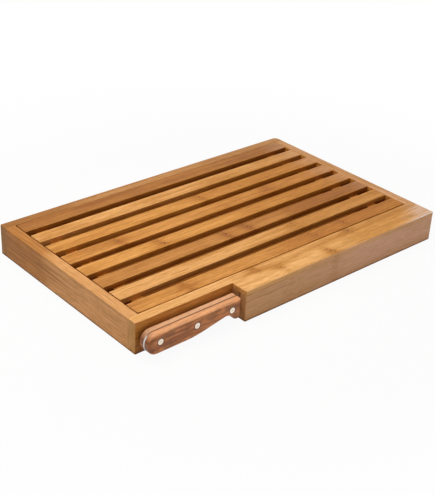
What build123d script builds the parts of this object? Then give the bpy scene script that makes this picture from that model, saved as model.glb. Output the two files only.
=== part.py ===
from build123d import *
import os

# Bread board with a lift-out slatted rack over a crumb tray, and a bread knife
# that is kept in a slotted block along the board's front edge.
# Millimetres. +X runs to the right along the slats, +Y to the back, +Z up.
# The origin is on the table, under the middle of the board.

# Board
board_length = 420.0
board_depth = 267.0
rail_thickness = 12.0
back_right_corner_radius = 6.0
bottom_edge_radius = 1.2
top_edge_radius = 1.0
recess_edge_radius = 0.6

# Crumb tray's base panel and the grooves that hold it
panel_thickness = 5.0
groove_height = 3.0
groove_depth = 5.0
groove_clearance = 0.2
panel_edge_gap = 0.4

# Loose tenons that join the rails at the corners
tenon_thickness = 4.0
tenon_height = 18.0
tenon_side_depth = 16.0
tenon_wall = 4.0
tenon_clearance = 0.1
tenon_end_gap = 0.5

# Slatted rack
slat_count = 8
slat_width = 18.8
slat_thickness = 6.0
slat_edge_radius = 0.8
rack_clearance = 0.8
rack_shift = 0.5
rack_corner_radius = 2.5
crossbar_width = 14.0
crossbar_left_setback = 13.3
crossbar_right_setback = 19.0
crossbar_edge_radius = 1.0

# Knife block
cap_thickness = 5.2
slot_floor = 4.0
slot_side_gap = 0.35
slot_headroom = 4.2
slot_end_gap = 5.5

# Knife blade
blade_height = 23.0
blade_length = 202.0
blade_thickness = 1.8
blade_rest_gap = 0.3
blade_drop_length = 46.0
blade_tip_height = 5.0
heel_gap = 1.5
grind_height = 13.0
edge_thickness = 0.5
tooth_pitch = 9.5
tooth_depth = 1.3
plain_edge_at_heel = 8.0
plain_edge_at_tip = 6.0

# Knife handle
handle_length = 117.1
handle_rise = 1.5
belly_rise = 1.9
belly_radius = 127.0
waist_run = 44.0
waist_depth = 13.9
waist_distance = 15.3
waist_radius = 10.0
guard_rise = 1.7
guard_length = 6.3
guard_radius = 5.0
scale_thickness = 7.1
scale_edge_radius = 2.6
butt_upper_radius = 10.5
butt_lower_radius = 10.4
handle_front_setback = 2.4
handle_wall_gap = 3.1
handle_block_gap = 4.4
handle_butt_gap = 2.0

# Rivets through the handle
rivet_count = 3
rivet_butt_distance = 14.2
rivet_end_distance = 11.7
rivet_drop = 9.4
rivet_radius = 3.25
rivet_clearance = 0.05
rivet_dimple_radius = 1.1
rivet_dimple_depth = 0.5

# Corners are a little rounder than the edge easing that runs around them
corner_margin = 0.2
upright_edge_radius = bottom_edge_radius + corner_margin
guard_corner_radius = scale_edge_radius + corner_margin

# Heights
edge_height = slot_floor + blade_rest_gap
spine_height = edge_height + blade_height
slot_top = spine_height + slot_headroom
board_height = slot_top + cap_thickness
handle_top = spine_height + handle_rise
belly_height = edge_height + belly_rise
guard_height = edge_height + guard_rise
waist_height = handle_top - waist_depth
rivet_height = handle_top - rivet_drop
panel_top = groove_height + panel_thickness
groove_top = panel_top + groove_clearance
slat_bottom = board_height - slat_thickness
tenon_middle_height = (groove_top + board_height) / 2

# Places from left to right
board_left = -board_length / 2
board_right = board_length / 2
inner_left = board_left + rail_thickness
inner_right = board_right - rail_thickness
handle_butt = board_left + handle_butt_gap
handle_end = handle_butt + handle_length
block_left = handle_end + handle_block_gap
blade_tip = handle_end + blade_length
slot_end = blade_tip + slot_end_gap

# Places from front to back
board_front = -board_depth / 2
board_back = board_depth / 2
handle_thickness = 2 * scale_thickness + blade_thickness
block_depth = handle_front_setback + handle_thickness + handle_wall_gap
rail_front = board_front + block_depth
inner_front = rail_front + rail_thickness
inner_back = board_back - rail_thickness
inner_middle = (inner_front + inner_back) / 2
blade_middle = board_front + handle_front_setback + handle_thickness / 2
blade_front = blade_middle - blade_thickness / 2

# Sizes that follow
opening_length = inner_right - inner_left
opening_depth = inner_back - inner_front
rack_length = opening_length - 2 * rack_clearance
rack_depth = opening_depth - 2 * rack_clearance
rack_middle = inner_middle + rack_shift
rack_left = rack_shift - rack_length / 2
rack_right = rack_shift + rack_length / 2
slat_pitch = (rack_depth - slat_width) / (slat_count - 1)
tenon_rail_depth = rail_thickness - tenon_wall
tenon_spread = board_length - rail_thickness
tenon_length = tenon_rail_depth + tenon_side_depth - 2 * tenon_end_gap
rivet_pitch = (handle_length - rivet_butt_distance - rivet_end_distance) / (rivet_count - 1)


def facing_front(y):
    """The upright plane at depth y that faces the front, with x to the right and y up."""
    return Plane.XZ.offset(-y)


def keep(piece, label):
    """Names a finished piece and writes its file."""
    piece.label = label
    export_step(piece, f"parts/{label}.step")


os.makedirs("parts", exist_ok=True)

# Form of the whole board without its rack and panel. The rails and the block are
# cut from it, so that one easing of the outer edges runs over all their joints.
with BuildPart() as board_form:
    with BuildSketch():
        with BuildLine():
            Polyline(
                (board_left, rail_front),
                (block_left, rail_front),
                (block_left, board_front),
                (board_right, board_front),
                (board_right, board_back),
                (board_left, board_back),
                close=True,
            )
        make_face()
    extrude(amount=board_height)
    back_right_edge = edges().filter_by(Axis.Z).group_by(Axis.X)[-1].sort_by(Axis.Y)[-1]
    fillet(back_right_edge, back_right_corner_radius)
    left_edges = edges().filter_by(Axis.Z).group_by(Axis.X)[0]
    fillet(left_edges, upright_edge_radius)
    front_edges = edges().filter_by(Axis.Z).group_by(Axis.Y)[0]
    fillet(front_edges, upright_edge_radius)
    fillet(faces().sort_by(Axis.Z)[0].outer_wire().edges(), bottom_edge_radius)
    fillet(faces().sort_by(Axis.Z)[-1].outer_wire().edges(), top_edge_radius)
    with BuildSketch():
        with Locations((0, inner_middle)):
            Rectangle(opening_length, opening_depth)
    extrude(amount=board_height, mode=Mode.SUBTRACT)
    recess_edges = faces().sort_by(Axis.Z)[-1].inner_wires()[0].edges()
    fillet(recess_edges, recess_edge_radius)

# Space of the panel's grooves in all four rails, stopped short of the board's ends
with BuildPart() as panel_groove:
    with BuildSketch(Plane.XY.offset(groove_height)):
        with Locations((0, inner_middle)):
            Rectangle(opening_length + 2 * groove_depth, opening_depth + 2 * groove_depth)
    extrude(amount=groove_top - groove_height)

# Mortises for a tenon at each corner, across the joint of its two rails
mortise_width = tenon_thickness + 2 * tenon_clearance
mortise_height = tenon_height + 2 * tenon_clearance
with BuildPart() as mortises:
    for mortise_back in (inner_front + tenon_side_depth, inner_back + tenon_rail_depth):
        with BuildSketch(facing_front(mortise_back)):
            with Locations((0, tenon_middle_height)):
                with GridLocations(tenon_spread, 0, 2, 1):
                    Rectangle(mortise_width, mortise_height)
        extrude(amount=tenon_side_depth + tenon_rail_depth)

# Front and back rails, which run the whole length of the board
for label, rail_middle in (
    ("front_rail", rail_front + rail_thickness / 2),
    ("back_rail", board_back - rail_thickness / 2),
):
    with BuildPart() as long_rail:
        with BuildSketch():
            with Locations((0, rail_middle)):
                Rectangle(board_length, rail_thickness)
        extrude(amount=board_height)
        add(board_form.part, mode=Mode.INTERSECT)
        add(panel_groove.part, mode=Mode.SUBTRACT)
        add(mortises.part, mode=Mode.SUBTRACT)
    keep(long_rail.part, label)

# Side rails, which butt between the front and back rails
for label, rail_middle in (
    ("left_rail", board_left + rail_thickness / 2),
    ("right_rail", board_right - rail_thickness / 2),
):
    with BuildPart() as side_rail:
        with BuildSketch():
            with Locations((rail_middle, inner_middle)):
                Rectangle(rail_thickness, opening_depth)
        extrude(amount=board_height)
        add(board_form.part, mode=Mode.INTERSECT)
        add(panel_groove.part, mode=Mode.SUBTRACT)
        add(mortises.part, mode=Mode.SUBTRACT)
    keep(side_rail.part, label)

# Tenons at the four corners
with BuildPart() as corner_tenons:
    for mortise_back in (inner_front + tenon_side_depth, inner_back + tenon_rail_depth):
        with BuildSketch(facing_front(mortise_back - tenon_end_gap)):
            with Locations((0, tenon_middle_height)):
                with GridLocations(tenon_spread, 0, 2, 1):
                    Rectangle(tenon_thickness, tenon_height)
        extrude(amount=tenon_length)
keep(corner_tenons.part, "corner_tenons")

# Base panel, which catches the crumbs
panel_overlap = groove_depth - panel_edge_gap
with BuildPart() as base_panel:
    with BuildSketch(Plane.XY.offset(groove_height)):
        with Locations((0, inner_middle)):
            Rectangle(opening_length + 2 * panel_overlap, opening_depth + 2 * panel_overlap)
    extrude(amount=panel_thickness)
keep(base_panel.part, "base_panel")

# Knife block with its slot sawn from above
block_length = board_right - block_left
block_middle = (board_right + block_left) / 2
slot_length = slot_end - block_left
with BuildPart() as knife_block:
    with BuildSketch():
        with Locations((block_middle, board_front + block_depth / 2)):
            Rectangle(block_length, block_depth)
    extrude(amount=slot_top)
    add(board_form.part, mode=Mode.INTERSECT)
    with BuildSketch(Plane.XY.offset(slot_floor)):
        with Locations((block_left + slot_length / 2, blade_middle)):
            Rectangle(slot_length, blade_thickness + 2 * slot_side_gap)
    extrude(amount=slot_top - slot_floor, mode=Mode.SUBTRACT)
keep(knife_block.part, "knife_block")

# Cap strip that closes the slot
with BuildPart() as knife_block_cap:
    with BuildSketch(Plane.XY.offset(slot_top)):
        with Locations((block_middle, board_front + block_depth / 2)):
            Rectangle(block_length, block_depth)
    extrude(amount=cap_thickness)
    add(board_form.part, mode=Mode.INTERSECT)
keep(knife_block_cap.part, "knife_block_cap")

# Form of the rack's slats together, with its rounded corners. The rack lies loose in
# its recess, pushed towards the back and the right.
with BuildPart() as rack_form:
    with BuildSketch(Plane.XY.offset(slat_bottom)):
        with Locations((rack_shift, rack_middle)):
            RectangleRounded(rack_length, rack_depth, rack_corner_radius)
    extrude(amount=slat_thickness)

# Slats, numbered from the back to the front
for number in range(slat_count):
    slat_middle = rack_middle + (rack_depth - slat_width) / 2 - number * slat_pitch
    with BuildPart() as slat:
        with BuildSketch(Plane.XY.offset(slat_bottom)):
            with Locations((rack_shift, slat_middle)):
                Rectangle(rack_length, slat_width)
        extrude(amount=slat_thickness)
        add(rack_form.part, mode=Mode.INTERSECT)
        fillet(faces().sort_by(Axis.Z)[-1].outer_wire().edges(), slat_edge_radius)
    keep(slat.part, f"slat_{number + 1}")

# Crossbars that the slats are glued onto, standing on the base panel
for label, crossbar_middle in (
    ("left_crossbar", rack_left + crossbar_left_setback + crossbar_width / 2),
    ("right_crossbar", rack_right - crossbar_right_setback - crossbar_width / 2),
):
    with BuildPart() as crossbar:
        with BuildSketch(Plane.XY.offset(panel_top)):
            with Locations((crossbar_middle, rack_middle)):
                Rectangle(crossbar_width, rack_depth)
        extrude(amount=slat_bottom - panel_top)
        fillet(faces().sort_by(Axis.Z)[0].edges(), crossbar_edge_radius)
    keep(crossbar.part, label)

# Outline of the knife's handle, seen from the front. Each corner of its straight
# runs is rounded to its own radius: butt, belly, waist, guard.
waist_place = handle_end - waist_distance
rounded_corners = (
    ((handle_butt, handle_top), butt_upper_radius),
    ((handle_butt, belly_height), butt_lower_radius),
    ((waist_place - waist_run, belly_height), belly_radius),
    ((waist_place, waist_height), waist_radius),
    ((handle_end - guard_length, guard_height), guard_radius),
    ((handle_end, guard_height), guard_corner_radius),
)
with BuildSketch(facing_front(blade_front)) as handle_outline:
    with BuildLine():
        Polyline((handle_end, handle_top), *[corner for corner, radius in rounded_corners], close=True)
    make_face()
    for corner, radius in rounded_corners:
        fillet(vertices().sort_by_distance(Vector(*corner))[0], radius)

# Holes for the rivets, across the tang and both scales
rivet_middle = handle_butt + rivet_butt_distance + rivet_pitch * (rivet_count - 1) / 2
with BuildPart() as rivet_holes:
    with BuildSketch(facing_front(blade_middle)):
        with Locations((rivet_middle, rivet_height)):
            with GridLocations(rivet_pitch, 0, rivet_count, 1):
                Circle(rivet_radius + rivet_clearance)
    extrude(amount=handle_thickness / 2, both=True)

# Blade with its full tang: plain heel, scalloped edge and a back that drops to the tip
heel = handle_end + heel_gap
teeth_start = heel + plain_edge_at_heel
teeth_end = blade_tip - plain_edge_at_tip
tooth_count = round((teeth_end - teeth_start) / tooth_pitch)
tooth_length = (teeth_end - teeth_start) / tooth_count
tang_inside = handle_end - guard_length
heel_top = guard_height + guard_corner_radius
cutter_margin = blade_height
with BuildPart() as knife_blade:
    extrude(handle_outline.sketch, amount=-blade_thickness)
    with BuildSketch(facing_front(blade_front)):
        with BuildLine():
            spine = Line((tang_inside, spine_height), (blade_tip - blade_drop_length, spine_height))
            tip = (blade_tip, edge_height + blade_tip_height)
            TangentArc(spine @ 1, tip, tangent=spine % 1)
            Line(tip, (teeth_end, edge_height))
            for tooth in range(tooth_count):
                right = teeth_end - tooth * tooth_length
                left = right - tooth_length
                hollow = ((left + right) / 2, edge_height + tooth_depth)
                ThreePointArc((right, edge_height), hollow, (left, edge_height))
            Polyline(
                (teeth_start, edge_height),
                (heel, edge_height),
                (heel, heel_top),
                (tang_inside, heel_top),
                spine @ 0,
            )
        make_face()
    extrude(amount=-blade_thickness)
    with BuildSketch(Plane.YZ.offset(teeth_start)):
        for side in (-1, 1):
            with BuildLine():
                Polyline(
                    (blade_middle + side * blade_thickness / 2, edge_height + grind_height),
                    (blade_middle + side * edge_thickness / 2, edge_height),
                    (blade_middle + side * edge_thickness / 2, edge_height - cutter_margin),
                    (blade_middle + side * blade_thickness, edge_height - cutter_margin),
                    (blade_middle + side * blade_thickness, edge_height + grind_height),
                    close=True,
                )
            make_face()
    extrude(amount=blade_length, mode=Mode.SUBTRACT)
    add(rivet_holes.part, mode=Mode.SUBTRACT)
keep(knife_blade.part, "knife_blade")

# Handle scales, one on each side of the tang, rounded all round their outer face
with BuildPart() as handle_scale_front:
    extrude(handle_outline.sketch, amount=scale_thickness)
    fillet(faces().sort_by(Axis.Y)[0].edges(), scale_edge_radius)
    add(rivet_holes.part, mode=Mode.SUBTRACT)
with BuildPart() as handle_scale_rear:
    mirror(handle_scale_front.part, about=facing_front(blade_middle))
keep(handle_scale_front.part, "handle_scale_front")
keep(handle_scale_rear.part, "handle_scale_rear")

# Rivets, flush with both scales and dimpled at both ends
for number in range(rivet_count):
    rivet_place = handle_butt + rivet_butt_distance + number * rivet_pitch
    with BuildPart() as rivet:
        with BuildSketch(facing_front(blade_middle)):
            with Locations((rivet_place, rivet_height)):
                Circle(rivet_radius)
        extrude(amount=handle_thickness / 2, both=True)
        for inward in (1, -1):
            with BuildSketch(facing_front(blade_middle - inward * handle_thickness / 2)):
                with Locations((rivet_place, rivet_height)):
                    Circle(rivet_dimple_radius)
            extrude(amount=-inward * rivet_dimple_depth, mode=Mode.SUBTRACT)
    keep(rivet.part, f"rivet_{number + 1}")
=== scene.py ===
import math
import bpy
from mathutils import Matrix, Vector

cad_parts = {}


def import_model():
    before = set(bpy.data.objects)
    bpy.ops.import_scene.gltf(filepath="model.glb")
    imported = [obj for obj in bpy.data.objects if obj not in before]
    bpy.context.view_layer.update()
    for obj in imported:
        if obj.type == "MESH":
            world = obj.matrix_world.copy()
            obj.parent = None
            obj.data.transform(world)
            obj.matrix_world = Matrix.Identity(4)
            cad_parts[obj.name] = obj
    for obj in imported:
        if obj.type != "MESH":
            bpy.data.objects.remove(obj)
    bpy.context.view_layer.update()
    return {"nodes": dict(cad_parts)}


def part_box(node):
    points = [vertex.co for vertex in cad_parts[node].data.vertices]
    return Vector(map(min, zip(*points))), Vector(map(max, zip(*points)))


# Bread board with a lift-out slatted rack and a bread knife: looks, light and camera.
# Metres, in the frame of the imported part: +X to the right along the slats, +Y to the
# back, +Z up, with the origin on the table under the middle of the board.

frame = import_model()
nodes = frame["nodes"]

# Camera, fitted to the board's corners in the photograph
camera_sensor = 36.0
camera_lens = 74.82
camera_azimuth = math.radians(42.51)
camera_elevation = math.radians(29.25)
camera_roll = math.radians(-3.02)
camera_distance = 1.1796
camera_aim = Vector((-0.00745, -0.0003, 0.0007))
camera_clip = 0.01

# Light: two softboxes that aim at the origin, and a little from all round
softbox_size = 0.6
overhead_place = Vector((-0.2, 0.08, 0.8))
overhead_power = 5.2
front_place = Vector((0.35, -1.1, 0.45))
front_power = 1.0
ambient = 0.22

# Floor. The camera sees it nearly white, with a share of the real floor and its shadow,
# which fades out between two distances from the origin.
floor_size = 8.0
floor_drop = 0.0002
floor_grain = (3.0, 3.0, 1.0)
shadow_share = 0.06
shadow_fade = (0.24, 0.6)

# Places taken from the frame
cap_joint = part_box("knife_block_cap")[0].z
handle_low, handle_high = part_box("handle_scale_front")
rivet_numbers = (1, 2, 3)
rivet_boxes = [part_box(f"rivet_{number}") for number in rivet_numbers]
rivet_places = [(low + high) / 2 for low, high in rivet_boxes]
rivet_radius = (rivet_boxes[-1][1].x - rivet_boxes[-1][0].x) / 2

# Grain of bamboo: repeats in a metre along the fibres and across them, and fineness
fibre_grain = (40.0, 900.0, 3.0)
dash_grain = (110.0, 620.0, 2.0)
streak_grain = (12.0, 360.0, 2.0)
band_grain = (5.0, 130.0, 1.0)
cloud_grain = (17.0, 45.0, 2.0)
pore_grain = (120.0, 1300.0, 1.0)
sway_grain = (9.0, 30.0, 1.0)
sway_width = 0.004
pore_range = (0.6, 0.7)

# How strongly each mark and the painted shade at the foot darken bamboo, how much fainter
# the fibres are on the sanded front, and how much the painted highlight lightens the eased
# edges
fibre_contrast = 0.7
dash_contrast = 0.42
streak_contrast = 0.6
pore_depth = 0.14
arch_depth = 0.55
joint_depth = 0.17
foot_shade_depth = 0.6
sanded_share = 0.45
edge_light = 0.12

# How much lighter and deeper than its tone bamboo gets in each channel, over which range
# of its drift, and the power for each channel by which a darker place is a warmer one
lightest = (1.1, 1.14, 1.25)
deepest = (0.80, 0.70, 0.45)
drift_range = (0.34, 0.72)
bamboo_warmth = (1.0, 1.4, 2.6)

# Cut ends of bamboo: repeats in a metre of the fibres' dots, and of the layers from side
# to side and upwards, the ends' own shade, the contrasts of dots and layers, and how much
# of the cut fibres' tone shows
end_dot_grain = (1300.0, 1300.0, 1300.0)
end_layer_grain = (300.0, 60.0)
end_shade = 0.86
end_dot_contrast = 0.6
end_layer_contrast = 0.5
cut_share = 0.3

# Joints of the bamboo's culm, which show as a warm patch with small arched marks
joint_length = 0.006
joint_width = 0.009
joint_slant = 0.3
joint_bend = 0.3
arch_repeat = 620.0
arch_height = 0.0042
arch_line = 0.0009
arch_wander = 0.006
arch_range = (0.38, 0.5)
wander_grain = (60.0, 220.0)

# Glue lines: how wide they are and how far they wander, which is the same, and the range
# of the clouds that breaks them up
glue_line = 0.0008
glue_range = (0.35, 0.6)

# Painted light and shade on bamboo: heights over which the painted shade at the foot gets
# dark, and the stretches of X over which the right end gets a pale painted sheen, the sides
# change from their left tone to their right one (partly a painted sheen), and the eased
# edges get a painted highlight, with how far the borders wander
foot_shade_heights = (0.0034, 0.001)
sheen_stretch = (0.15, 0.205)
sheen_wander = 0.06
side_stretch = (-0.09, 0.16)
side_wander = 0.2
edge_highlight_stretch = (0.14, 0.195)
edge_highlight_share = 0.9

# Which way a surface faces, by one part of its normal: from where it starts to count as
# each kind of face to where it fully does. An eased edge has a limit towards the upright
# faces and one towards the flat top.
upright_normal = (0.75, 0.5)
edge_to_upright = (0.25, 0.6)
edge_to_top = (0.995, 0.93)
front_normal = (-0.4, -0.8)
cut_normal = (0.7, 0.9)
wall_normal = (0.4, 0.8)

# Hardwood of the knife's handle: repeats in a metre along it and across it, and fineness,
# or along X, Y and Z for its patches. A range is where a mark comes up from nothing.
figure_grain = (40.0, 460.0, 3.0)
handle_streak_grain = (20.0, 190.0, 2.0)
handle_pore_grain = (150.0, 1500.0, 1.0)
handle_patch_grain = (52.0, 60.0, 90.0)
handle_sway_grain = (14.0, 30.0, 1.0)
handle_sway_width = 0.006
figure_contrast = 0.72
handle_streak_range = (0.38, 0.6)
handle_pore_range = (0.57, 0.68)
handle_pore_depth = 0.3
patch_range = (0.44, 0.62)
patch_share = 0.65
# Upward faces of the handle take a lighter tone, which is painted light, with this share
top_normal = (0.3, 0.75)
lit_top_share = 0.85
handle_warmth = (1.0, 1.2, 1.4)

# The handle gets darker over a stretch towards its butt, and in a ring round each rivet,
# from outside to inside in radii of the rivet
butt_stretch = 0.012
butt_depth = 0.35
rivet_ring = (1.65, 1.02)
ring_depth = 0.5

# Metal: repeats in a metre along X, Y and Z, the soft seam where the blade leaves the
# handle, the painted shade on the tang's upper edge and on its lower part, which fades
# between two heights, and how squarely the blade's flat and its ground bevel face sideways
brush_grain = (3000.0, 200.0, 90.0)
length_grain = (60.0, 200.0, 2600.0)
steel_cloud_grain = (30.0, 30.0, 60.0)
rivet_grain = (900.0, 900.0, 900.0)
handle_seam = 0.0004
tang_edge_normal = (0.6, 0.9)
tang_shade_heights = (0.013, 0.009)
ground_normal = (0.9995, 0.995)


class Value:
    """A number that a node gives out. It can be used in sums, products and powers."""

    def __init__(self, finish, socket):
        self.finish = finish
        self.socket = socket

    def __add__(self, other):
        return self.finish.maths("ADD", self, other)

    __radd__ = __add__

    def __sub__(self, other):
        return self.finish.maths("SUBTRACT", self, other)

    def __rsub__(self, other):
        return self.finish.maths("SUBTRACT", other, self)

    def __mul__(self, other):
        return self.finish.maths("MULTIPLY", self, other)

    __rmul__ = __mul__

    def __truediv__(self, other):
        return self.finish.maths("DIVIDE", self, other)

    def __rtruediv__(self, other):
        return self.finish.maths("DIVIDE", other, self)

    def __pow__(self, other):
        return self.finish.maths("POWER", self, other)


class Finish:
    """The node tree of a material or a world while it is built up."""

    def __init__(self, owner):
        owner.use_nodes = True
        self.owner = owner
        self.nodes = owner.node_tree.nodes
        self.links = owner.node_tree.links
        self.nodes.clear()

    def put(self, socket, value):
        """Links a value to a socket, or sets the socket to a plain one."""
        if isinstance(value, Value):
            self.links.new(value.socket, socket)
        else:
            socket.default_value = value

    def node(self, kind, sockets, settings=None, output=0):
        """Adds a node with its settings and its inputs, and returns one of its outputs."""
        made = self.nodes.new(kind)
        for name, setting in (settings or {}).items():
            setattr(made, name, setting)
        for name, value in sockets.items():
            self.put(made.inputs[name], value)
        return Value(self, made.outputs[output])

    def maths(self, operation, *terms):
        return self.node("ShaderNodeMath", dict(enumerate(terms)), {"operation": operation})

    def size(self, value):
        """The value without its sign."""
        return self.maths("ABSOLUTE", value)

    def larger(self, first, second):
        return self.maths("MAXIMUM", first, second)

    def smooth(self, value, start, end):
        """0 at start, 1 at end, and a soft step between them, whichever is the higher."""
        settings = {"interpolation_type": "SMOOTHSTEP"}
        sockets = {"Value": value, "From Min": start, "From Max": end}
        if start > end:
            falling = {"To Min": 1.0, "To Max": 0.0}
            sockets = {"Value": value, "From Min": end, "From Max": start, **falling}
        return self.node("ShaderNodeMapRange", sockets, settings)

    def line(self, value, middle, width):
        """1 on a soft line where the value is near the middle, and 0 beside it."""
        return self.smooth(self.size(value - middle), width, width * 0.3)

    def mound(self, value, width):
        """1 where the value is 0, half at the width, and less and less beyond it."""
        return 1.0 / (1.0 + (value / width) ** 2.0)

    def mix(self, factor, first, second, blend="MIX"):
        """Mixes two colours. Mix has inputs for each data type: 6 and 7 are the colours."""
        settings = {"data_type": "RGBA", "blend_type": blend, "clamp_factor": True}
        return self.node("ShaderNodeMix", {0: factor, 6: first, 7: second}, settings, output=2)

    def shaded(self, colour_value, shade, warmth=(1.0, 1.0, 1.0)):
        """A colour made lighter or darker, with a power for each of its channels."""
        powers = [shade if power == 1.0 else shade ** power for power in warmth]
        return self.mix(1.0, colour_value, self.vector(*powers), "MULTIPLY")

    def parts(self, vector):
        split = self.node("ShaderNodeSeparateXYZ", {0: vector})
        return [Value(self, socket) for socket in split.socket.node.outputs]

    def place(self):
        """The point on the piece, in its own coordinates."""
        return self.parts(self.node("ShaderNodeTexCoord", {}, output="Object"))

    def facing(self):
        """The direction that the surface faces, in the piece's own coordinates."""
        return self.parts(self.node("ShaderNodeTexCoord", {}, output="Normal"))

    def vector(self, x, y, z):
        return self.node("ShaderNodeCombineXYZ", {0: x, 1: y, 2: z})

    def scaled(self, place, scales):
        """The place as a vector, with a scale of its own for each axis."""
        return self.vector(*[part * scale for part, scale in zip(place, scales)])

    def noise(self, vector, detail=2.0):
        sockets = {"Vector": vector, "Scale": 1.0, "Detail": detail, "Roughness": 0.5}
        return self.node("ShaderNodeTexNoise", sockets)

    def grain(self, place, along, across, detail):
        """Noise drawn out along the first axis of the place."""
        return self.noise(self.scaled(place, (along, across, across)), detail)

    def bump(self, height, strength, distance):
        sockets = {"Height": height, "Strength": strength, "Distance": distance}
        return self.node("ShaderNodeBump", sockets)

    def ends_in(self, kind, value):
        """Links the last value to the tree's output, and returns the tree's owner."""
        output = self.nodes.new(kind)
        self.links.new(value.socket, output.inputs["Surface"])
        return self.owner

    def finish(self, sockets):
        """Ends a material with a Principled shader."""
        shader = self.node("ShaderNodeBsdfPrincipled", sockets)
        return self.ends_in("ShaderNodeOutputMaterial", shader)


def new_finish(name):
    return Finish(bpy.data.materials.new(name))


def colour(red, green, blue):
    """A display colour, each part from 0 to 255, as the linear colour that shaders take."""
    parts = []
    for part in (red / 255, green / 255, blue / 255):
        parts.append(part / 12.92 if part <= 0.04045 else ((part + 0.055) / 1.055) ** 2.4)
    return (*parts, 1.0)


def tinted(tone, shares):
    """A colour with each of its three channels made lighter or darker by its share."""
    return [part * share for part, share in zip(tone, shares)] + [1.0]


def paint(node, material):
    """Gives a CAD node its material."""
    slots = nodes[node].data.materials
    slots.clear()
    slots.append(material)


# Bamboo, and the tones of its cut fibres, the painted sheen on its right end and the
# painted highlight on its eased edges
pale = colour(238, 174, 100)
straw = colour(226, 161, 87)
honey = colour(219, 150, 68)
tawny = colour(214, 149, 82)
amber = colour(212, 142, 63)
toffee = colour(192, 125, 52)
nut = colour(172, 107, 38)
dull = colour(187, 128, 66)
rosy = colour(218, 160, 106)
cut_fibres = colour(214, 176, 140)
sheen_tone = colour(240, 200, 170)
edge_highlight_tone = colour(255, 244, 230)

# Hardwood of the handle
light_wood = colour(228, 145, 82)
red_wood = colour(176, 102, 54)
brown_wood = colour(148, 90, 44)

# Metal
bright_steel = colour(214, 210, 204)
grey_steel = colour(192, 188, 184)
# Dark brown that paints shade on the tang between the scales
shaded_tang_tone = colour(140, 92, 56)
satin_aluminium = colour(246, 232, 214)

# Studio
white = colour(255, 255, 255)
paper = colour(236, 234, 231)


def culm_joints(finish, run, across, z, seed, knuckles):
    """Fibres bent round the culm's joints, the joints' arched marks and their warm glow."""
    bent, arches, glow = across, 0.0, 0.0
    wander_along, wander_across = wander_grain
    for joint_run, joint_across in knuckles:
        aside = across - joint_across
        wander_place = (run * wander_along + seed, across * wander_across, z * wander_across)
        wander = finish.noise(finish.vector(*wander_place), 1.0)
        from_joint = run - joint_run + aside * joint_slant
        near = finish.mound(from_joint, joint_length)
        within = finish.mound(aside, joint_width)
        arch = finish.size(finish.maths("SINE", aside * arch_repeat)) * arch_height
        from_arch = from_joint - arch + (wander - 0.5) * arch_wander
        broken = finish.smooth(wander, *arch_range)
        arches = finish.line(from_arch, 0.0, arch_line) * broken * within + arches
        glow = near * (0.55 + wander * 0.9) * within + glow
        bent = bent + near * aside * joint_bend
    return bent, arches, glow


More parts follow.
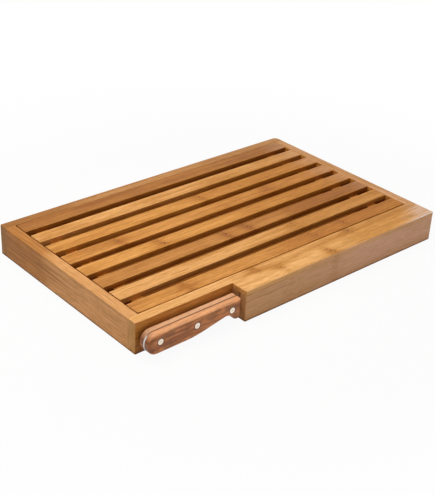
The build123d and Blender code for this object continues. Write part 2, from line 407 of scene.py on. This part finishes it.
def bamboo(
    name,
    tone,
    along="X",
    seed=0.0,
    knuckles=(),
    plies=(),
    ply_fade=None,
    deeper=(),
    outer_tones_and_sheen=None,
    shaded_wall=None,
    upright_shade=None,
    right_end_sheen=None,
):
    """Oiled bamboo with its fibres along one axis.

    knuckles: places of the culm's joints, as run and across.
    plies: heights of glue lines on upright faces, each with its strength.
    ply_fade: the stretch of the run over which the glue lines come up from nothing.
    deeper: stretches of the run, each from where the tone starts to get deeper to where
        it is deepest, and how much. A negative amount makes it lighter.
    outer_tones_and_sheen: tones of the front and the ends, at the left and at the right,
    partly a painted sheen that makes the front paler and pinker than the top.
    shaded_wall: the axis and the direction that an inner side faces, and its darker, warmer
    tone, which is painted shade.
    upright_shade: painted shade on upright faces: the heights between which it grows, how
        dark it is all over, and how much darker at the foot.
    right_end_sheen: how far back the right end gets a pale painted sheen, and how much.
    """
    finish = new_finish(name)
    x, y, z = finish.place()
    facing = finish.facing()
    up = facing[2]
    run, across = (x, y) if along == "X" else (y, x)
    along_run = facing[0] if along == "X" else facing[1]
    upright = finish.smooth(finish.size(up), *upright_normal)
    eased = finish.smooth(up, *edge_to_upright) * finish.smooth(up, *edge_to_top)
    front_side = finish.smooth(facing[1], *front_normal)
    ends = finish.smooth(finish.size(along_run), *cut_normal)

    bent, arches, glow = culm_joints(finish, run, across, z, seed, knuckles)
    shifted = run + seed
    sway = finish.grain((shifted, across, z), *sway_grain)
    fibre_place = (shifted, bent + (sway - 0.5) * sway_width, z)
    fibres = finish.grain(fibre_place, *fibre_grain)
    dashes = finish.grain(fibre_place, *dash_grain)
    streaks = finish.grain(fibre_place, *streak_grain)
    bands = finish.grain(fibre_place, *band_grain)
    clouds = finish.grain(fibre_place, *cloud_grain)
    pores = finish.smooth(finish.grain(fibre_place, *pore_grain), *pore_range)

    # The tone drifts between a lighter and a deeper one
    depth = 0.0
    for start, end, amount in deeper:
        depth = finish.smooth(run, start, end) * amount + depth
    drift = bands * 0.5 + clouds * 0.5 + depth + glow * 0.3
    drifted = finish.smooth(drift, *drift_range)
    body = finish.mix(drifted, tinted(tone, lightest), tinted(tone, deepest))

    # Sides and cut ends have tones of their own, partly a painted sheen on outer pieces; an
    # inner wall takes painted shade, the right end a painted sheen, eased edges a painted
    # highlight
    if outer_tones_and_sheen:
        to_right = finish.smooth(x + (clouds - 0.5) * side_wander, *side_stretch)
        side_tone_and_sheen = finish.mix(to_right, *outer_tones_and_sheen)
        body = finish.mix(finish.larger(front_side, ends), body, side_tone_and_sheen)
    else:
        body = finish.mix(ends * cut_share, body, cut_fibres)
    # Painted shade: an inner wall takes a darker, warmer tone
    if shaded_wall:
        axis, direction, wall_shade_tone = shaded_wall
        on_shaded_wall = finish.smooth(facing[axis] * direction, *wall_normal)
        body = finish.mix(on_shaded_wall, body, wall_shade_tone)
    # Painted sheen: the right end turns paler, less so farther back
    if right_end_sheen:
        reach, sheen_strength = right_end_sheen
        farther_back = finish.larger(across - reach, 0.0)
        sheen = finish.smooth(x + (clouds - 0.5) * sheen_wander - farther_back, *sheen_stretch)
        body = finish.mix(sheen * sheen_strength * (1.0 - front_side), body, sheen_tone)
    # Painted highlight: the eased edges towards the right end turn nearly white
    if outer_tones_and_sheen:
        edge_highlight = eased * finish.smooth(x, *edge_highlight_stretch)
        body = finish.mix(edge_highlight * edge_highlight_share, body, edge_highlight_tone)

    # Fibres and pores, and the marks and the glow of the culm's joints
    shade = (fibres - 0.5) * fibre_contrast + (dashes - 0.5) * dash_contrast
    shade = shade + (streaks - 0.5) * streak_contrast - pores * pore_depth
    if outer_tones_and_sheen:
        shade = shade * (1.0 - front_side * sanded_share)
    shown_arches = arches * (1.0 - upright * 0.85)
    shade = 1.02 + shade - depth * 0.1 - shown_arches * arch_depth - glow * joint_depth

    # Glue lines between the layers, on upright faces
    for height, strength in plies:
        glue = finish.line(z + (streaks - 0.5) * glue_line, height, glue_line)
        glue = glue * finish.smooth(clouds, *glue_range)
        if ply_fade:
            glue = glue * finish.smooth(run, *ply_fade)
        shade = shade * (1.0 - glue * upright * strength)

    # Cut ends show the fibres as close dots, in layers
    dots = finish.noise(finish.scaled((x, y, z), end_dot_grain))
    layers_across, layers_up = end_layer_grain
    layers = finish.noise(finish.vector(seed, across * layers_across, z * layers_up), 1.0)
    dotted = end_shade + (dots - 0.5) * end_dot_contrast + (layers - 0.5) * end_layer_contrast
    shade = shade + (dotted - shade) * ends

    # Eased edges get a painted highlight, and near the table a painted shade darkens the foot
    shade = shade * (1.0 + eased * edge_light)
    shade = shade * (1.0 - finish.smooth(z, *foot_shade_heights) * foot_shade_depth)
    # Painted shade on upright faces, all over and darker towards the foot
    if upright_shade:
        upright_shade_top, upright_shade_foot, all_over, more_below = upright_shade
        painted_shade = all_over + finish.smooth(z, upright_shade_top, upright_shade_foot) * more_below
        shade = shade * (1.0 - painted_shade * upright * (1.0 - ends))

    return finish.finish(
        {
            "Base Color": finish.shaded(body, finish.larger(shade, 0.05), bamboo_warmth),
            "Roughness": 0.52 + (fibres - 0.5) * 0.3 + ends * 0.15,
            "Specular IOR Level": 0.25,
            "Normal": finish.bump(fibres - pores * 0.4, 0.35, 0.0003),
        }
    )


# Slats from the back of the rack to its front: tone, places of the culm's joints, and the
# stretch over which the tone gets deeper, with how much
slats = [
    (nut, (), (-0.05, 0.12, 0.05)),
    (straw, (), (0.0, 0.12, 0.12)),
    (honey, ((0.0094, 0.055),), (-0.05, 0.12, 0.25)),
    (amber, ((0.0912, 0.026), (-0.1294, 0.026)), (-0.05, 0.12, 0.1)),
    (honey, ((-0.094, -0.003),), (-0.05, 0.12, 0.25)),
    (toffee, ((-0.025, -0.032), (0.006, -0.032)), (0.04, 0.15, 0.9)),
    (straw, ((0.053, -0.060),), (-0.05, 0.12, 0.2)),
    (amber, ((0.053, -0.089), (0.100, -0.085), (-0.129, -0.09)), (-0.02, 0.12, 0.35)),
]
slats_with_end_sheen = 6
for number, (tone, knuckles, stretch) in enumerate(slats):
    paint(
        f"slat_{number + 1}",
        bamboo(
            f"bamboo_slat_{number + 1}",
            tone,
            seed=number * 1.7,
            knuckles=knuckles,
            deeper=(stretch,),
            # Painted shade in the gaps between the slats
            upright_shade=(0.0352, 0.0312, 0.2, 0.1),
            right_end_sheen=(0.2, 0.22) if number < slats_with_end_sheen else None,
        ),
    )

paint(
    "front_rail",
    bamboo(
        "bamboo_front_rail",
        straw,
        seed=20.0,
        knuckles=((0.091, -0.107), (-0.053, -0.103)),
        plies=((0.018, 0.2),),
        deeper=((-0.04, -0.13, -0.4), (0.06, 0.16, 0.2)),
        shaded_wall=(1, -1.0, colour(212, 143, 66)),
        upright_shade=(0.034, 0.0, 0.05, 0.35),
        right_end_sheen=(-0.13, 0.5),
    ),
)
paint(
    "back_rail",
    bamboo(
        "bamboo_back_rail",
        dull,
        seed=21.3,
        plies=((0.018, 0.2),),
        deeper=((-0.09, -0.17, 0.4),),
    ),
)
paint(
    "left_rail",
    bamboo(
        "bamboo_left_rail",
        tawny,
        along="Y",
        seed=30.0,
        plies=((0.0292, 0.3), (0.0262, 0.25), (0.0205, 0.4), (0.0165, 0.45), (0.0095, 0.3)),
        ply_fade=(-0.04, 0.05),
        deeper=((0.03, 0.1, 0.9), (0.05, -0.02, -0.35)),
    ),
)
paint(
    "right_rail",
    bamboo(
        "bamboo_right_rail",
        rosy,
        along="Y",
        seed=31.3,
        plies=((0.0178, 0.3),),
        shaded_wall=(0, -1.0, colour(214, 140, 62)),
    ),
)

# The knife's block and the strip over its slot: tones of the sides, left and right, partly
# a painted sheen that makes the front paler and pinker than the top
block_sides_and_sheen = {
    "knife_block": (colour(218, 162, 110), colour(230, 176, 138)),
    "knife_block_cap": (colour(226, 168, 100), colour(228, 170, 118)),
}
for number, (node, sides) in enumerate(block_sides_and_sheen.items()):
    paint(
        node,
        bamboo(
            f"bamboo_{node}",
            pale,
            seed=22.6 + 2.1 * number,
            knuckles=((-0.028, -0.114), (0.0426, -0.1265)),
            plies=((cap_joint, 0.35), (0.0235, 0.25)),
            ply_fade=(0.06, -0.05),
            deeper=((0.05, 0.15, 0.2),),
            outer_tones_and_sheen=sides,
            upright_shade=(0.02, 0.0, 0.0, 0.1),
            right_end_sheen=(-0.13, 0.75),
        ),
    )

for number, node in enumerate(("left_crossbar", "right_crossbar")):
    paint(node, bamboo(f"bamboo_{node}", toffee, along="Y", seed=33.0 + number))
for number, node in enumerate(("corner_tenons", "base_panel")):
    paint(node, bamboo(f"bamboo_{node}", toffee, seed=41.0 + number))


def hardwood(name, seed, lit_top_tone):
    """Red-brown hardwood with open pores and painted light on top, darker at the butt and
    round the rivets.
    """
    finish = new_finish(name)
    x, y, z = finish.place()
    up = finish.facing()[2]
    shifted = x + seed
    sway = finish.grain((shifted, y, z), *handle_sway_grain)
    grain_place = (shifted, y, z + (sway - 0.5) * handle_sway_width)
    figure = finish.grain(grain_place, *figure_grain)
    streaks = finish.grain(grain_place, *handle_streak_grain)
    pores = finish.smooth(finish.grain(grain_place, *handle_pore_grain), *handle_pore_range)
    patches = finish.noise(finish.scaled((shifted, y, z), handle_patch_grain))

    body = finish.mix(finish.smooth(streaks, *handle_streak_range), light_wood, red_wood)
    body = finish.mix(finish.smooth(patches, *patch_range) * patch_share, body, brown_wood)
    # Painted light: upward faces take a lighter tone
    body = finish.mix(finish.smooth(up, *top_normal) * lit_top_share, body, lit_top_tone)
    shade = 1.01 + (figure - 0.5) * figure_contrast - pores * handle_pore_depth
    butt = finish.smooth(x, handle_low.x + butt_stretch, handle_low.x)
    shade = shade * (1.0 - butt * butt_depth)
    ring_outside, ring_inside = [rivet_radius * radii for radii in rivet_ring]
    for middle in rivet_places:
        from_rivet = ((x - middle.x) ** 2.0 + (z - middle.z) ** 2.0) ** 0.5
        ring = finish.smooth(from_rivet, ring_outside, ring_inside)
        shade = shade * (1.0 - ring * ring_depth)
    return finish.finish(
        {
            "Base Color": finish.shaded(body, shade, handle_warmth),
            "Roughness": 0.42 + (figure - 0.5) * 0.2 + pores * 0.15,
            "Specular IOR Level": 0.3,
            "Coat Weight": 0.08,
            "Coat Roughness": 0.3,
            "Normal": finish.bump(figure * 0.6 - pores * 0.5, 0.3, 0.0003),
        }
    )


def blade_steel():
    """Brushed steel, ground finer to its edge, with painted shade on the tang between the
    scales.
    """
    finish = new_finish("blade_steel")
    place = finish.place()
    x, y, z = place
    facing = finish.facing()
    brushed = finish.noise(finish.scaled(place, brush_grain), 3.0)
    length_marks = finish.noise(finish.scaled(place, length_grain))
    clouds = finish.noise(finish.scaled(place, steel_cloud_grain))
    in_handle = finish.smooth(x, handle_high.x + handle_seam, handle_high.x - handle_seam)
    tang_edge = finish.smooth(facing[2], *tang_edge_normal)
    # Painted shade on the tang's upper edge and lower part inside the handle
    shaded_tang = finish.larger(tang_edge, finish.smooth(z, *tang_shade_heights)) * in_handle
    ground = finish.smooth(finish.size(facing[1]), *ground_normal) * (1.0 - in_handle)
    steel = finish.mix(clouds, bright_steel, grey_steel)
    shade = 1.0 + (brushed - 0.5) * 0.16 + (length_marks - 0.5) * 0.1 + ground * 0.08
    return finish.finish(
        {
            "Base Color": finish.mix(shaded_tang, finish.shaded(steel, shade), shaded_tang_tone),
            "Metallic": 1.0 - shaded_tang * 0.8,
            "Roughness": 0.32 + (brushed - 0.5) * 0.16 + shaded_tang * 0.3 - ground * 0.08,
            "Normal": finish.bump(brushed, 0.12, 0.0001),
        }
    )


def rivet_metal():
    """Satin aluminium of the rivets."""
    finish = new_finish("rivet_metal")
    spots = finish.noise(finish.scaled(finish.place(), rivet_grain))
    return finish.finish(
        {
            "Base Color": finish.shaded(satin_aluminium, 1.0 + (spots - 0.5) * 0.12),
            "Metallic": 0.85,
            "Roughness": 0.42 + (spots - 0.5) * 0.2,
            "Normal": finish.bump(spots, 0.1, 0.0001),
        }
    )


# The last colour of each scale is the painted light on its upward faces
paint("handle_scale_front", hardwood("handle_wood_front", 50.0, colour(244, 174, 118)))
paint("handle_scale_rear", hardwood("handle_wood_rear", 52.0, colour(240, 184, 138)))
paint("knife_blade", blade_steel())
rivet_material = rivet_metal()
for number in rivet_numbers:
    paint(f"rivet_{number}", rivet_material)


def backdrop_share(finish):
    """1 for rays from the camera, from gloss and through glass, which see the backdrop."""
    seen = 0.0
    for ray in ("Is Camera Ray", "Is Glossy Ray", "Is Transmission Ray"):
        seen = finish.larger(finish.node("ShaderNodeLightPath", {}, output=ray), seen)
    return seen


def floor():
    """Pale floor, nearly white to the camera, that keeps a soft shadow."""
    bpy.ops.mesh.primitive_plane_add(size=floor_size, location=(0.0, 0.0, -floor_drop))
    plane = bpy.context.object
    plane.name = "floor"
    finish = new_finish("pale_floor")
    place = finish.place()
    x, y, z = place
    cloud = finish.noise(finish.scaled(place, floor_grain), 1.0)
    far = finish.smooth((x * x + y * y) ** 0.5, *shadow_fade)
    whiteness = backdrop_share(finish) * (1.0 - shadow_share + far * shadow_share)
    lit_paper = finish.shaded(paper, 0.99 + cloud * 0.02)
    diffuse = finish.node("ShaderNodeBsdfDiffuse", {"Color": lit_paper})
    glow = finish.node("ShaderNodeEmission", {"Color": white, "Strength": 1.0})
    mixed = finish.node("ShaderNodeMixShader", {0: whiteness, 1: diffuse, 2: glow})
    plane.data.materials.append(finish.ends_in("ShaderNodeOutputMaterial", mixed))


def world():
    """White studio: plain ambient light on the object, white where the camera sees it."""
    studio = bpy.data.worlds.new("studio")
    bpy.context.scene.world = studio
    finish = Finish(studio)
    strength = ambient + backdrop_share(finish) * (1.0 - ambient)
    light = finish.node("ShaderNodeBackground", {"Color": white, "Strength": strength})
    finish.ends_in("ShaderNodeOutputWorld", light)


def lamp(name, place, power):
    """A soft square lamp that aims at the origin."""
    light = bpy.data.lights.new(name, "AREA")
    light.shape = "SQUARE"
    light.size = softbox_size
    light.energy = power
    softbox = bpy.data.objects.new(name, light)
    softbox.location = place
    softbox.rotation_euler = (-place).to_track_quat("-Z", "Y").to_euler()
    bpy.context.scene.collection.objects.link(softbox)


def camera():
    """Camera at the photograph's viewing angle."""
    level = math.cos(camera_elevation)
    to_right = math.sin(camera_azimuth) * level
    to_back = math.cos(camera_azimuth) * level
    forward = Vector((to_right, to_back, -math.sin(camera_elevation)))
    right = forward.cross(Vector((0.0, 0.0, 1.0))).normalized()
    down = forward.cross(right)
    rolled_right = math.cos(camera_roll) * right + math.sin(camera_roll) * down
    rolled_down = math.cos(camera_roll) * down - math.sin(camera_roll) * right
    data = bpy.data.cameras.new("photo_camera")
    data.sensor_width = camera_sensor
    data.lens = camera_lens
    data.clip_start = camera_clip
    eye = bpy.data.objects.new("photo_camera", data)
    turn = Matrix((rolled_right, -rolled_down, -forward)).transposed().to_4x4()
    eye.matrix_world = Matrix.Translation(camera_aim - forward * camera_distance) @ turn
    bpy.context.scene.collection.objects.link(eye)
    bpy.context.scene.camera = eye


bpy.ops.object.select_all(action="DESELECT")
floor()
world()
lamp("overhead_softbox", overhead_place, overhead_power)
lamp("front_softbox", front_place, front_power)
camera()
bpy.context.scene.view_settings.view_transform = "Standard"
